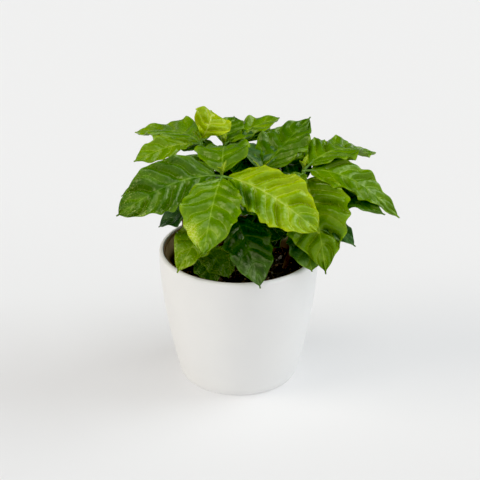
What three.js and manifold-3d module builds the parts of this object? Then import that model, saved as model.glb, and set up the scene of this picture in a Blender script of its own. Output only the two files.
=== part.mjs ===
// A young arabica coffee plant: nine seedlings in a nursery pot that stands in a white planter.
// Millimetres, +Z up. The origin is the middle of the planter's flat underside, and the plant's
// photographed side faces -Y.
import * as THREE from 'three';
import { mergeVertices } from 'three/addons/utils/BufferGeometryUtils.js';
import Module from 'manifold-3d';

const wasm = await Module();
wasm.setup();

// The planter
const POT_HEIGHT = 117;
const POT_RIM_RADIUS = 67.5;
const POT_BASE_SHARE = 0.735;
const POT_TAPER_POWER = 1.78;
const POT_WALL = 3.8;
const POT_LIP = 3.4;
const POT_FLOOR = 4;
const POT_BASE_ROUND = 2.5;
const POT_SEGMENTS = 44;
const POT_OUTER_RINGS = [14, 30, 50, 70, 90, 108];
const POT_INNER_RINGS = [90, 60, 30];
const POT_FLOOR_ROUND = 3;

// The nursery pot inside it, and the peat
const LINER_LIP_HEIGHT = 116.2;
const LINER_LIP_RADIUS = 63.6;
const LINER_LIP_DEPTH = 3;
const LINER_LIP_OVERHANG = 0.5;
const LINER_LIP_ROUND = 0.5;
const LINER_WALL = 0.9;
const LINER_BASE_RADIUS = 43;
const LINER_FLOOR = 1.4;
const SOIL_HEIGHT = 97;
const SOIL_EDGE_DROP = 2.5;
const SOIL_SLOPE = 6;
const SEAT_GAP = 0.3;
const STEM_SUNK = 5;
const STEM_COLLAR = 4;
const MASS_GAP = 0.4;

// Stems and leaves
const STEM_FOOT_RADIUS = 2.0;
const STEM_TOP_RADIUS = 1.25;
const STEM_SIDES = 8;
const STEM_RINGS = 6;
const PETIOLE_RADIUS = 1.0;
const PETIOLE_SIDES = 4;
const PETIOLE_LENGTH = 5;
const PETIOLE_TAPER = 0.8;
const PETIOLE_REACH = 0.04;
const LEAF_THICKNESS = 1.0;
const LEAF_STEPS = 8;
const SMALL_LEAF_STEPS = 6;
const SMALL_LEAF_LENGTH = 60;
const LEAF_LEAST_HALF = 0.6;
const LEAF_FOLD = 12;
const LEAF_FOLD_LIFT = 0.65;
const LEAF_ARCH_SKEW = 0.3;
const LEAF_WAVE = 0.05;
const LEAF_WAVES = 3;
const LEAF_WAVE_SHIFT = 0.8;
const LEAF_PHASE = 1.7;
const LEAVES_COUNTED = 8;
const LEAF_BELLY = 0.95;
const LEAF_FULLNESS = 0.8;
const LEAF_TIP_SHARE = 0.97;
const DRIP_TIP_WIDTH = 0.1;
const DRIP_TIP_REACH = 0.25;
const BUD_LENGTH = 13;
const BUD_WIDTH = 4.5;
const BUD_DIP = -58;
const BUD_ARCH = 0.08;
const BUD_FOLD = 30;
const BUD_PETIOLE = 1;
const BUD_STEPS = 4;
const BUD_STALK = 0.7;

const POT_WHITE = 0xe9e8e4;
const LINER_TAUPE = 0x6b5a4a;
const PEAT_BROWN = 0x1d1715;
const BARK_BROWN = 0x5a4632;
const GREENS = {
  deep: 0x2c5a12,
  mid: 0x44781a,
  bright: 0x6b9a22,
};

// Each seedling: foot and top of its stem, the sideways bow of the stem, and its leaves.
// A leaf leaves the stem "at" a share of the stem's height. "heading" is the compass angle of
// its chord from +X towards +Y, "dip" the chord's fall below level, both in degrees. "arch" is
// the midrib's rise over the chord and "sweep" its sideways bend, as shares of the length.
const SEEDLINGS = [
  {
    name: 'front_left',
    foot: [-17, -10],
    top: [-14, -18, 192],
    bow: 2,
    mass_from: 0.54,
    bud: 60,
    green: GREENS.mid,
    leaves: [
      { at: 1, heading: -163, dip: 15, length: 93, width: 49, arch: 0.1, roll: -33, belly: 0.86, full: 0.65 },
      { at: 0.99, heading: -101, dip: 25, length: 84, width: 50, arch: 0.1, belly: 1, petiole: 2 },
      { at: 1, heading: -27, dip: 20, length: 95, width: 54, arch: 0.08, roll: 25, belly: 1.08, full: 0.7 },
      { at: 0.98, heading: 88, dip: -4, length: 56, width: 46, arch: 0.2, roll: -6, belly: 0.85, petiole: 3 },
      { at: 0.6, heading: -128, dip: 26, length: 65, width: 38, arch: 0.1, roll: -8, belly: 0.8 },
      { at: 0.72, heading: 12, dip: 12, length: 38, width: 32, arch: 0.15, roll: 30 },
      { at: 0.7, heading: -170, dip: 15, length: 55, width: 40, arch: 0.14, belly: 1.2, full: 0.65 },
    ],
  },
  {
    name: 'back_left',
    foot: [-26, 20],
    top: [-32, 32, 200],
    bow: -3,
    mass_from: 0.6,
    bud: 10,
    green: GREENS.bright,
    leaves: [
      {
        at: 0.98, heading: 138, dip: 8, length: 80, width: 50, arch: 0.04, sweep: -0.14,
        belly: 0.86, full: 0.5,
      },
      { at: 0.99, heading: -160, dip: 7, length: 60, width: 27, arch: 0.08, roll: -18, belly: 1.2 },
      {
        at: 1, heading: 61, dip: -52, length: 29, width: 41, arch: 0.22, roll: 47,
        fold: 31, sweep: -0.19, belly: 1.36, full: 1.02, petiole: 2,
      },
      { at: 0.91, heading: -97, dip: 15, length: 46, width: 34, arch: 0.14 },
      { at: 0.66, heading: 92, dip: 20, length: 32, width: 26, arch: 0.14 },
      { at: 0.74, heading: -42, dip: 0, length: 44, width: 30, arch: 0.1 },
    ],
  },
  {
    name: 'right',
    foot: [39, 2],
    top: [54, 5, 187],
    bow: 3,
    mass_from: 0.36,
    bud: 60,
    green: GREENS.mid,
    leaves: [
      { at: 1, heading: 40, dip: 6, length: 83, width: 45, arch: 0.14, belly: 0.8, full: 0.6 },
      {
        at: 0.99, heading: -15, dip: 22, length: 89, width: 39, arch: 0.14, roll: 12,
        belly: 0.64, full: 0.74,
      },
      {
        at: 0.94, heading: -74, dip: 44, length: 88, width: 60, arch: 0.12, roll: 30,
        belly: 0.72, full: 0.9,
      },
      { at: 0.9, heading: 160, dip: 2, length: 35, width: 30, arch: 0.15, petiole: 3 },
      { at: 0.97, heading: -112, dip: 32, length: 26, width: 20, arch: 0.2, fold: 30, petiole: 2 },
      { at: 0.72, heading: -26, dip: 0, length: 76, width: 31, arch: 0.11, roll: 8, belly: 0.85 },
      { at: 0.6, heading: -51, dip: 6, length: 71, width: 28, arch: 0.06 },
      { at: 0.5, heading: -79, dip: 21, length: 60, width: 33, arch: 0.08, belly: 1.3, full: 0.62 },
      { at: 0.4, heading: -165, dip: 36, length: 38, width: 28, arch: 0.1 },
      { at: 0.72, heading: 55, dip: 18, length: 50, width: 30, arch: 0.12 },
    ],
  },
  {
    name: 'back',
    foot: [-6, 42],
    top: [-13, 51, 189],
    bow: 2,
    mass_from: 0.3,
    bud: 75,
    green: GREENS.mid,
    leaves: [
      { at: 1, heading: 27, dip: -16, length: 56, width: 33, arch: 0.06, belly: 0.86, full: 0.62 },
      { at: 0.93, heading: 165, dip: 11, length: 64, width: 32, arch: 0.14 },
      { at: 0.95, heading: 8, dip: -25, length: 38, width: 20, arch: 0.1, petiole: 9 },
      { at: 0.92, heading: 51, dip: -5, length: 61, width: 36, arch: 0.1, full: 0.65 },
      { at: 0.68, heading: 40, dip: 14, length: 50, width: 32, arch: 0.14 },
      { at: 0.93, heading: -60, dip: 8, length: 48, width: 38, arch: 0.12 },
      { at: 0.5, heading: 125, dip: 20, length: 46, width: 30, arch: 0.14 },
      { at: 0.34, heading: 90, dip: 6, length: 42, width: 28, arch: 0.14 },
      { at: 0.98, heading: 74, dip: -26, length: 36, width: 28, arch: 0.1, petiole: 3 },
      { at: 0.56, heading: -158, dip: 18, length: 36, width: 26, arch: 0.12 },
    ],
  },
  {
    name: 'centre',
    foot: [16, 12],
    top: [19, 8, 183],
    bow: 2,
    mass_from: 0.62,
    bud: 0,
    green: GREENS.deep,
    leaves: [
      { at: 0.98, heading: 89, dip: 2, length: 62, width: 38, arch: 0.2, belly: 0.85, petiole: 3 },
      {
        at: 1, heading: 53, dip: -21, length: 75, width: 47, arch: 0.03,
        belly: 0.77, full: 0.87, petiole: 3,
      },
      { at: 0.85, heading: -50, dip: 25, length: 34, width: 24, arch: 0.12 },
      { at: 0.7, heading: 150, dip: 10, length: 30, width: 24, arch: 0.12 },
    ],
  },
  {
    name: 'back_right',
    foot: [30, 34],
    top: [38, 48, 174],
    bow: 2,
    mass_from: 0.34,
    bud: 30,
    green: GREENS.mid,
    leaves: [
      { at: 0.98, heading: 22, dip: 12, length: 66, width: 38, arch: 0.14, roll: 14 },
      { at: 0.98, heading: 89, dip: -10, length: 60, width: 33, arch: 0.1, full: 0.65 },
      { at: 0.66, heading: 60, dip: 22, length: 52, width: 32, arch: 0.12 },
      { at: 0.62, heading: 135, dip: 16, length: 44, width: 26, arch: 0.12 },
      { at: 1, heading: -62, dip: 2, length: 38, width: 32, arch: 0.12 },
      { at: 0.38, heading: 22, dip: 4, length: 42, width: 27, arch: 0.14 },
      { at: 0.5, heading: 98, dip: 18, length: 48, width: 32, arch: 0.12 },
    ],
  },
  {
    name: 'left',
    foot: [-42, 14],
    top: [-50, 26, 166],
    bow: 2,
    mass_from: 0.5,
    bud: 70,
    green: GREENS.mid,
    leaves: [
      { at: 0.98, heading: 178, dip: 14, length: 52, width: 28, arch: 0.14 },
      { at: 0.98, heading: 105, dip: 12, length: 50, width: 32, arch: 0.14 },
      { at: 0.6, heading: 130, dip: 14, length: 36, width: 26, arch: 0.14 },
      { at: 0.78, heading: -175, dip: 5, length: 34, width: 24, arch: 0.12 },
    ],
  },
  {
    name: 'front',
    foot: [8, -12],
    top: [-5, -18, 158],
    bow: 0,
    mass_from: 0.72,
    bud: null,
    green: GREENS.deep,
    leaves: [
      { at: 1, heading: -69.5, dip: 31, length: 75, width: 41, arch: 0.08 },
      { at: 0.8, heading: 8, dip: 14, length: 44, width: 38, arch: 0.1, roll: 20, belly: 1.1, full: 0.7 },
      { at: 0.85, heading: 100, dip: 10, length: 30, width: 22, arch: 0.12 },
    ],
  },
  {
    name: 'low',
    foot: [-30, -18],
    top: [-34, -13, 126],
    bow: 0,
    mass_from: 0.62,
    bud: 5,
    green: GREENS.deep,
    leaves: [
      { at: 1, heading: -53, dip: 17, length: 45, width: 34, arch: 0.1, belly: 1.02, full: 0.6 },
      { at: 0.8, heading: -72, dip: 16, length: 42, width: 25, arch: 0.06, full: 0.6 },
    ],
  },
];

const radians = THREE.MathUtils.degToRad;

// A closed solid from points that are shared between its triangles.
function solidFrom(points, triangles) {
  return new wasm.Manifold(new wasm.Mesh({
    numProp: 3,
    vertProperties: new Float32Array(points.flatMap((p) => [p.x, p.y, p.z])),
    triVerts: new Uint32Array(triangles.flat()),
  }));
}

function geometryFrom(solid) {
  const mesh = solid.getMesh();
  const geometry = new THREE.BufferGeometry();
  geometry.setAttribute('position', new THREE.BufferAttribute(mesh.vertProperties, 3));
  geometry.setIndex(new THREE.BufferAttribute(mesh.triVerts, 1));
  geometry.computeVertexNormals();
  return geometry;
}

// A closed profile of [radius, height] pairs turned about the plant's upright axis.
function turned(profile, segments) {
  const lathe = new THREE.LatheGeometry(profile.map(([r, z]) => new THREE.Vector2(r, z)), segments);
  lathe.rotateX(Math.PI / 2);
  lathe.deleteAttribute('normal');
  lathe.deleteAttribute('uv');
  const merged = mergeVertices(lathe, 1e-4);
  const at = merged.getAttribute('position');
  const points = [];
  for (let i = 0; i < at.count; i += 1) {
    points.push(new THREE.Vector3(at.getX(i), at.getY(i), at.getZ(i)));
  }
  const index = merged.index.array;
  const triangles = [];
  for (let i = 0; i < index.length; i += 3) {
    const [a, b, c] = [index[i], index[i + 1], index[i + 2]];
    if (a !== b && b !== c && a !== c) {
      triangles.push([a, b, c]);
    }
  }
  const signed = triangles.reduce(
    (sum, [a, b, c]) => sum + points[a].dot(points[b].clone().cross(points[c])),
    0,
  );
  return solidFrom(points, signed > 0 ? triangles : triangles.map(([a, b, c]) => [a, c, b]));
}

function potRadius(z) {
  const depth = (POT_HEIGHT - z) / POT_HEIGHT;
  return POT_RIM_RADIUS * (1 - (1 - POT_BASE_SHARE) * depth ** POT_TAPER_POWER);
}

function planter() {
  const profile = [[0, 0], [potRadius(0) - POT_BASE_ROUND, 0]];
  profile.push([potRadius(0) - POT_BASE_ROUND * 0.3, POT_BASE_ROUND * 0.3]);
  profile.push([potRadius(POT_BASE_ROUND), POT_BASE_ROUND]);
  for (const z of POT_OUTER_RINGS) {
    profile.push([potRadius(z), z]);
  }
  const lip = POT_HEIGHT - POT_LIP / 2;
  profile.push([POT_RIM_RADIUS, lip]);
  profile.push([POT_RIM_RADIUS - POT_LIP * 0.15, POT_HEIGHT - POT_LIP * 0.15]);
  profile.push([POT_RIM_RADIUS - POT_LIP / 2, POT_HEIGHT]);
  profile.push([POT_RIM_RADIUS - POT_LIP * 0.85, POT_HEIGHT - POT_LIP * 0.15]);
  profile.push([POT_RIM_RADIUS - POT_LIP, lip]);
  for (const z of POT_INNER_RINGS) {
    profile.push([potRadius(z) - POT_WALL, z]);
  }
  const corner = POT_FLOOR + POT_FLOOR_ROUND;
  profile.push([potRadius(corner) - POT_WALL, corner]);
  profile.push([potRadius(POT_FLOOR) - POT_WALL - POT_FLOOR_ROUND, POT_FLOOR]);
  profile.push([0, POT_FLOOR]);
  return turned(profile, POT_SEGMENTS);
}

const LINER_BOTTOM = POT_FLOOR + SEAT_GAP;
const LINER_WALL_TOP = LINER_LIP_RADIUS - LINER_LIP_OVERHANG;

function linerRadius(z) {
  const share = (z - LINER_BOTTOM) / (LINER_LIP_HEIGHT - LINER_LIP_DEPTH - LINER_BOTTOM);
  return LINER_BASE_RADIUS + (LINER_WALL_TOP - LINER_BASE_RADIUS) * share;
}

function linerInside(z) {
  const floor = LINER_BOTTOM + LINER_FLOOR;
  const low = linerRadius(floor) - LINER_WALL;
  return low + ((LINER_WALL_TOP - LINER_WALL - low) * (z - floor)) / (LINER_LIP_HEIGHT - floor);
}

function liner() {
  const under = LINER_LIP_HEIGHT - LINER_LIP_DEPTH;
  const floor = LINER_BOTTOM + LINER_FLOOR;
  return turned([
    [0, LINER_BOTTOM],
    [linerRadius(LINER_BOTTOM), LINER_BOTTOM],
    [linerRadius(under - LINER_LIP_ROUND), under - LINER_LIP_ROUND],
    [LINER_LIP_RADIUS, under],
    [LINER_LIP_RADIUS, LINER_LIP_HEIGHT - LINER_LIP_ROUND],
    [LINER_LIP_RADIUS - LINER_LIP_ROUND, LINER_LIP_HEIGHT],
    [linerInside(LINER_LIP_HEIGHT), LINER_LIP_HEIGHT],
    [linerInside(floor), floor],
    [0, floor],
  ], POT_SEGMENTS);
}

function soil(sockets) {
  const foot = LINER_BOTTOM + LINER_FLOOR + SEAT_GAP;
  const edge = SOIL_HEIGHT - SOIL_EDGE_DROP;
  const heap = turned([
    [0, foot],
    [linerInside(foot) - SEAT_GAP, foot],
    [linerInside(edge) - SEAT_GAP, edge],
    [linerInside(edge) - SOIL_SLOPE, SOIL_HEIGHT],
    [0, SOIL_HEIGHT],
  ], POT_SEGMENTS);
  return sockets.reduce((bed, socket) => bed.subtract(socket), heap);
}

// The point of a seedling's stem at a share of its height; below 0 it is sunk in the peat.
function stemPoint(seedling, share) {
  const foot = new THREE.Vector3(seedling.foot[0], seedling.foot[1], SOIL_HEIGHT);
  const top = new THREE.Vector3(...seedling.top);
  const lean = new THREE.Vector3(top.x - foot.x, top.y - foot.y, 0).normalize();
  const bulge = seedling.bow * 4 * share * (1 - share);
  return foot.lerp(top, share).addScaledVector(lean, bulge);
}

function stemRadius(share) {
  return STEM_FOOT_RADIUS + (STEM_TOP_RADIUS - STEM_FOOT_RADIUS) * share;
}

// A closed tube with a flat end at each end, along points with a radius each.
function tube(path, radii, sides) {
  const points = [];
  const triangles = [];
  path.forEach((centre, i) => {
    const before = path[Math.max(i - 1, 0)];
    const after = path[Math.min(i + 1, path.length - 1)];
    const along = after.clone().sub(before).normalize();
    const side = new THREE.Vector3(0, 0, 1).cross(along);
    if (side.length() < 0.3) {
      side.set(1, 0, 0).cross(along).cross(along).negate();
    }
    side.normalize();
    const up = along.clone().cross(side);
    for (let k = 0; k < sides; k += 1) {
      const turn = (2 * Math.PI * k) / sides;
      points.push(centre.clone()
        .addScaledVector(side, radii[i] * Math.cos(turn))
        .addScaledVector(up, radii[i] * Math.sin(turn)));
    }
  });
  for (let i = 0; i + 1 < path.length; i += 1) {
    for (let k = 0; k < sides; k += 1) {
      const a = i * sides + k;
      const b = i * sides + ((k + 1) % sides);
      triangles.push([a, b, b + sides], [a, b + sides, a + sides]);
    }
  }
  const last = (path.length - 1) * sides;
  for (let k = 1; k + 1 < sides; k += 1) {
    triangles.push([0, k + 1, k], [last, last + k, last + k + 1]);
  }
  return solidFrom(points, triangles);
}

function stemTube(seedling, shares, extra) {
  const path = shares.map((share) => stemPoint(seedling, share));
  return tube(path, shares.map((share) => stemRadius(share) + extra), STEM_SIDES);
}

// Evenly spaced shares of a stem's height.
function spaced(from, to) {
  const rings = Math.max(1, Math.ceil((to - from) * STEM_RINGS));
  return Array.from({ length: rings + 1 }, (_, i) => from + ((to - from) * i) / rings);
}

// Half the blade's width at a share t of the blade, as a share of the half width.
function bladeShare(t, belly, full) {
  const body = Math.max(0, Math.sin(Math.PI * Math.min(t / LEAF_TIP_SHARE, 1) ** belly)) ** full;
  const drip = t > 0.5 ? DRIP_TIP_WIDTH * Math.min((1 - t) / DRIP_TIP_REACH, 1) ** 0.8 : 0;
  return Math.max(body, drip);
}

// The midrib of a leaf: a chord with an arch over it and a sideways sweep.
function midrib(base, leaf) {
  const heading = radians(leaf.heading);
  const dip = radians(leaf.dip);
  const chord = new THREE.Vector3(
    Math.cos(dip) * Math.cos(heading),
    Math.cos(dip) * Math.sin(heading),
    -Math.sin(dip),
  );
  const side = new THREE.Vector3(-Math.sin(heading), Math.cos(heading), 0);
  const up = chord.clone().cross(side);
  return (u) => {
    const bulge = 4 * u * (1 - u);
    return base.clone()
      .addScaledVector(chord, leaf.length * u)
      .addScaledVector(up, leaf.arch * leaf.length * bulge * (1 + LEAF_ARCH_SKEW * (1 - 2 * u)))
      .addScaledVector(side, (leaf.sweep ?? 0) * leaf.length * bulge);
  };
}

// One leaf: a folded, waved blade of even thickness, and its petiole.
function leafSolids(base, leaf, number) {
  const rib = midrib(base, leaf);
  const petiole = leaf.petiole ?? PETIOLE_LENGTH;
  const start = petiole / leaf.length;
  const side = new THREE.Vector3(
    -Math.sin(radians(leaf.heading)),
    Math.cos(radians(leaf.heading)),
    0,
  );
  const fold = radians(leaf.fold ?? LEAF_FOLD);
  const roll = radians(leaf.roll ?? 0);
  const phase = LEAF_PHASE * number;
  const points = [];
  const steps = leaf.steps ?? (leaf.length > SMALL_LEAF_LENGTH ? LEAF_STEPS : SMALL_LEAF_STEPS);
  for (let i = 0; i <= steps; i += 1) {
    const t = i / steps;
    const u = start + (1 - start) * t;
    const centre = rib(u);
    const along = rib(u + 1e-3).sub(rib(u - 1e-3)).normalize();
    const across = side.clone().addScaledVector(along, -side.dot(along)).normalize();
    const level = along.clone().cross(across);
    const out = across.clone().multiplyScalar(Math.cos(roll)).addScaledVector(level, Math.sin(roll));
    const face = along.clone().cross(out);
    const share = bladeShare(t, leaf.belly ?? LEAF_BELLY, leaf.full ?? LEAF_FULLNESS);
    const half = Math.max(LEAF_LEAST_HALF, (share * leaf.width) / 2);
    for (const v of [-1, 0, 1]) {
      const ripple = 2 * Math.PI * LEAF_WAVES * t + phase + (v < 0 ? Math.PI * LEAF_WAVE_SHIFT : 0);
      const lift = Math.abs(v) * half * Math.sin(fold) * LEAF_FOLD_LIFT
        + LEAF_WAVE * leaf.width * v * v * Math.sin(ripple) * Math.sin(Math.PI * t);
      const top = centre.clone()
        .addScaledVector(out, v * half * Math.cos(fold))
        .addScaledVector(face, lift);
      points.push(top, top.clone().addScaledVector(face, -LEAF_THICKNESS));
    }
  }
  const at = (i, j, under) => (i * 3 + j) * 2 + under;
  const triangles = [];
  for (let i = 0; i < steps; i += 1) {
    for (let j = 0; j < 2; j += 1) {
      triangles.push([at(i, j, 0), at(i + 1, j, 0), at(i + 1, j + 1, 0)]);
      triangles.push([at(i, j, 0), at(i + 1, j + 1, 0), at(i, j + 1, 0)]);
      triangles.push([at(i, j, 1), at(i + 1, j + 1, 1), at(i + 1, j, 1)]);
      triangles.push([at(i, j, 1), at(i, j + 1, 1), at(i + 1, j + 1, 1)]);
    }
    triangles.push([at(i, 0, 1), at(i + 1, 0, 1), at(i + 1, 0, 0)]);
    triangles.push([at(i, 0, 1), at(i + 1, 0, 0), at(i, 0, 0)]);
    triangles.push([at(i, 2, 0), at(i + 1, 2, 0), at(i + 1, 2, 1)]);
    triangles.push([at(i, 2, 0), at(i + 1, 2, 1), at(i, 2, 1)]);
  }
  for (let j = 0; j < 2; j += 1) {
    triangles.push([at(0, j, 0), at(0, j + 1, 0), at(0, j + 1, 1)]);
    triangles.push([at(0, j, 0), at(0, j + 1, 1), at(0, j, 1)]);
    triangles.push([at(steps, j, 1), at(steps, j + 1, 1), at(steps, j + 1, 0)]);
    triangles.push([at(steps, j, 1), at(steps, j + 1, 0), at(steps, j, 0)]);
  }
  const stalk = [0, start * 0.6, start + PETIOLE_REACH].map((u) => {
    const drop = new THREE.Vector3(0, 0, -LEAF_THICKNESS / 2);
    return rib(u).add(drop);
  });
  const thin = PETIOLE_RADIUS * (leaf.stalk ?? 1);
  return [solidFrom(points, triangles), tube(stalk, [thin, thin, thin * PETIOLE_TAPER], PETIOLE_SIDES)];
}

function budPair(seedling) {
  const turns = seedling.bud === null ? [] : [0, 180];
  return turns.map((turn) => ({
    at: 1,
    heading: seedling.bud + turn,
    dip: BUD_DIP,
    length: BUD_LENGTH,
    width: BUD_WIDTH,
    arch: BUD_ARCH,
    petiole: BUD_PETIOLE,
    fold: BUD_FOLD,
    steps: BUD_STEPS,
    stalk: BUD_STALK,
  }));
}

function leafMass(seedling, order) {
  const parts = [stemTube(seedling, spaced(seedling.mass_from, 1), 0)];
  [...seedling.leaves, ...budPair(seedling)].forEach((leaf, i) => {
    parts.push(...leafSolids(stemPoint(seedling, leaf.at), leaf, order * LEAVES_COUNTED + i));
  });
  return parts.reduce((mass, piece) => mass.add(piece));
}

const plant = new THREE.Group();

function place(name, solid, color, roughness) {
  const material = new THREE.MeshStandardMaterial({ color, roughness, metalness: 0 });
  const mesh = new THREE.Mesh(geometryFrom(solid), material);
  mesh.name = name;
  plant.add(mesh);
}

const sockets = SEEDLINGS.map((seedling) => {
  const height = seedling.top[2] - SOIL_HEIGHT;
  return stemTube(seedling, [-(STEM_SUNK + SEAT_GAP) / height, STEM_COLLAR / height], SEAT_GAP);
});

place('pot', planter(), POT_WHITE, 0.45);
place('nursery_pot', liner(), LINER_TAUPE, 0.6);
place('soil', soil(sockets), PEAT_BROWN, 0.95);
SEEDLINGS.forEach((seedling, order) => {
  const height = seedling.top[2] - SOIL_HEIGHT;
  const above = spaced(STEM_COLLAR / height, seedling.mass_from - MASS_GAP / height);
  const bough = stemTube(seedling, [-STEM_SUNK / height, ...above], 0);
  place(`stem_${seedling.name}`, bough, BARK_BROWN, 0.7);
  place(`leaves_${seedling.name}`, leafMass(seedling, order), seedling.green, 0.35);
});

export default plant;
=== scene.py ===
# A tuft of young arabica coffee seedlings in a white cover pot: finish, leaves and studio.
# Sizes are in millimetres in the part's own frame, and become metres where meshes are made.
import itertools
import math
import random
import bpy
import numpy as np
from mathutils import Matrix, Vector, noise


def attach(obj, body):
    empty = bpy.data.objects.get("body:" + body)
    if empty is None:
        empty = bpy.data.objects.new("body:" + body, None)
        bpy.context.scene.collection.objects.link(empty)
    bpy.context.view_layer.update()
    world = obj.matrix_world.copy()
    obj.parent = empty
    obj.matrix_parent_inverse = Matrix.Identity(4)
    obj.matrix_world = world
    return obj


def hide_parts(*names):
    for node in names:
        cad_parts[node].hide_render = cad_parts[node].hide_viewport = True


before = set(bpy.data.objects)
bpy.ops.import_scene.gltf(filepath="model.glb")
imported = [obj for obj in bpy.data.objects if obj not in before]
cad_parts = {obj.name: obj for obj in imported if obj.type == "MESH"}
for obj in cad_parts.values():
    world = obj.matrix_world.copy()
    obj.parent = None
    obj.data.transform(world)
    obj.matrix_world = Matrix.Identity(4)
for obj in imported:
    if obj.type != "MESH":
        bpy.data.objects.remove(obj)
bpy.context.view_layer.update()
MM = 0.001

# The cover pot
POT_HEIGHT = 117.0
POT_RIM_RADIUS = 67.5
POT_BASE_SHARE = 0.735
POT_TAPER_POWER = 1.78
POT_WALL = 3.8
POT_LIP = 3.4
POT_LIP_ROUND = 2.8
POT_LIP_FADE = 12.0
POT_FLOOR = 4.0
POT_BASE_ROUND = 2.5
POT_BASE_BLEND = 1.5
POT_FOOT_SHARE = 0.97
POT_CORNER_INSET = 3.0
POT_CORNER_ROUND = 4.0
POT_ROWS_OUTSIDE = 40
POT_ROWS_INSIDE = 30
POT_SEGMENTS = 180
DISC_SHARE = 0.5

# The nursery pot and the peat in it
SEAT_GAP = 0.3
LINER_LIP_HEIGHT = 116.2
LINER_LIP_RADIUS = 63.6
LINER_LIP_DEPTH = 3.0
LINER_LIP_OVERHANG = 0.5
LINER_LIP_ROUND = 0.5
LINER_LIP_BEVEL = 0.4
LINER_LIP_BEND = 2.0
LINER_WALL = 0.9
LINER_BASE_RADIUS = 43.0
LINER_BASE_BEVEL = 0.6
LINER_BOTTOM = POT_FLOOR + SEAT_GAP
LINER_FLOOR = 1.4
LINER_CORNER = 1.0
LINER_ROWS = 24
SOIL_HEIGHT = 97.0
SOIL_EDGE_DROP = 2.5
SOIL_EDGE_WIDTH = 9.0
SOIL_SETTLED = 0.6
SOIL_SKIRT = 8.0
SOIL_LUMP_HEIGHT = 0.825
SOIL_LUMPS = [(7.0, 1.0, 0), (2.6, 0.6, 9), (1.1, 0.35, 21)]  # size, share, layer of the noise

# Stems and leaves, as the part's solids have them
STEM_SUNK = 5.0
MASS_GAP = 0.4
STEM_FOOT_RADIUS = 2.0
STEM_TOP_RADIUS = 1.25
PETIOLE_RADIUS = 1.0
PETIOLE_LENGTH = 5.0
LEAF_FOLD = 12.0
LEAF_FOLD_LIFT = 0.65
LEAF_ARCH_SKEW = 0.3
LEAF_WAVE = 0.05
LEAF_WAVES = 3
LEAF_WAVE_SHIFT = 0.8
LEAF_PHASE = 1.7
LEAVES_COUNTED = 8
LEAF_BELLY = 0.95
LEAF_FULLNESS = 0.8
LEAF_TIP_SHARE = 0.97
LEAF_LEAST_HALF = 0.6
DRIP_TIP_WIDTH = 0.1
DRIP_TIP_REACH = 0.25
DRIP_TIP_POWER = 0.8
BUD = dict(dip=-58, length=13, width=4.5, arch=0.08, age=0.7, petiole=1, fold=30, columns=8)

# The finer form of a leaf
LEAF_THICKNESS = 0.45
RIB_STEP = 0.001
LEAF_STEP = 1.25
LEAF_LEAST_STEPS = 12
LEAF_COLUMNS = 26
VEIN_SPACING = 12.5
VEINS_AT_LEAST = 4
VEIN_RISE = 0.15
VEIN_CURVE = 0.09
VEIN_SHIFT = 0.18
VEIN_PARTING = 8
VEIN_WANDER = 0.08
QUILT_DEPTH = 0.055
QUILT_UNEVEN = 0.6
QUILT_SHARPNESS = 1.6
QUILT_FROM_RIB = (0.03, 0.22)
QUILT_TO_EDGE = (0.75, 1)
QUILT_EDGE_LOSS = 0.5
QUILT_END_POWER = 0.6
MIDRIB_GROOVE = 0.55
MIDRIB_KEEL = 0.8
MIDRIB_WIDTH = 1.1
MIDRIB_THINNING = 0.6
FRILL = 0.022
SCALLOP = 0.045
LONG_SCALLOP = 0.6
LONG_SCALLOPS = 2.3
LONG_SCALLOP_STARTS = (0, 0.4)
UNEVEN = 1.3
UNEVEN_SIZE = 11.0
UNEVEN_FROM_RIB = (0.03, 0.3)

# Odd multipliers, which keep the waves of two leaves, veins or sides from matching
WANDER_ACROSS = 5.1
WANDER_ALONG = 2.9
WANDER_BY_LEAF = 4
QUILT_BY_VEIN = 2.4
QUILT_BY_LEAF = 1.9
QUILT_BY_SIDE = 2
FRILL_BY_LEAF = 2.3

# The finer form of stems
BARK_RINGS = 70
BARK_SIDES = 20
BARK_RELIEF = 0.16
BARK_RIDGES = (2.6, 0.28)  # how fine they are round the stem and along it
BARK_KNOTS = (1.2, 0.9)
KNOT_SHARE = 0.5
BARK_SPECKS = 0.6
NODE_SWELLING = 0.35
NODE_LENGTH = 1.3
UPRIGHT_FROM = 0.7
FIRST_SCAR = 0.12
SCAR_STEP = 0.16
WOODY_TO = 0.3
GREEN_FROM = 0.85
SHOOT_RINGS = 64
SHOOT_RELIEF = 0.06
SHOOT_TIP_FROM = 0.97
SHOOT_TIP_HOLD = 1.15
SHOOT_TIP_TAPER = 0.5
PETIOLE_RINGS = 7
PETIOLE_SIDES = 10
PETIOLE_REACH = 0.05
PETIOLE_DROP = 0.5
PETIOLE_TAPER = (1.25, 0.55)
PETIOLE_WOOD_SPAN = 0.1
BUD_STALK = 0.7

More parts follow.
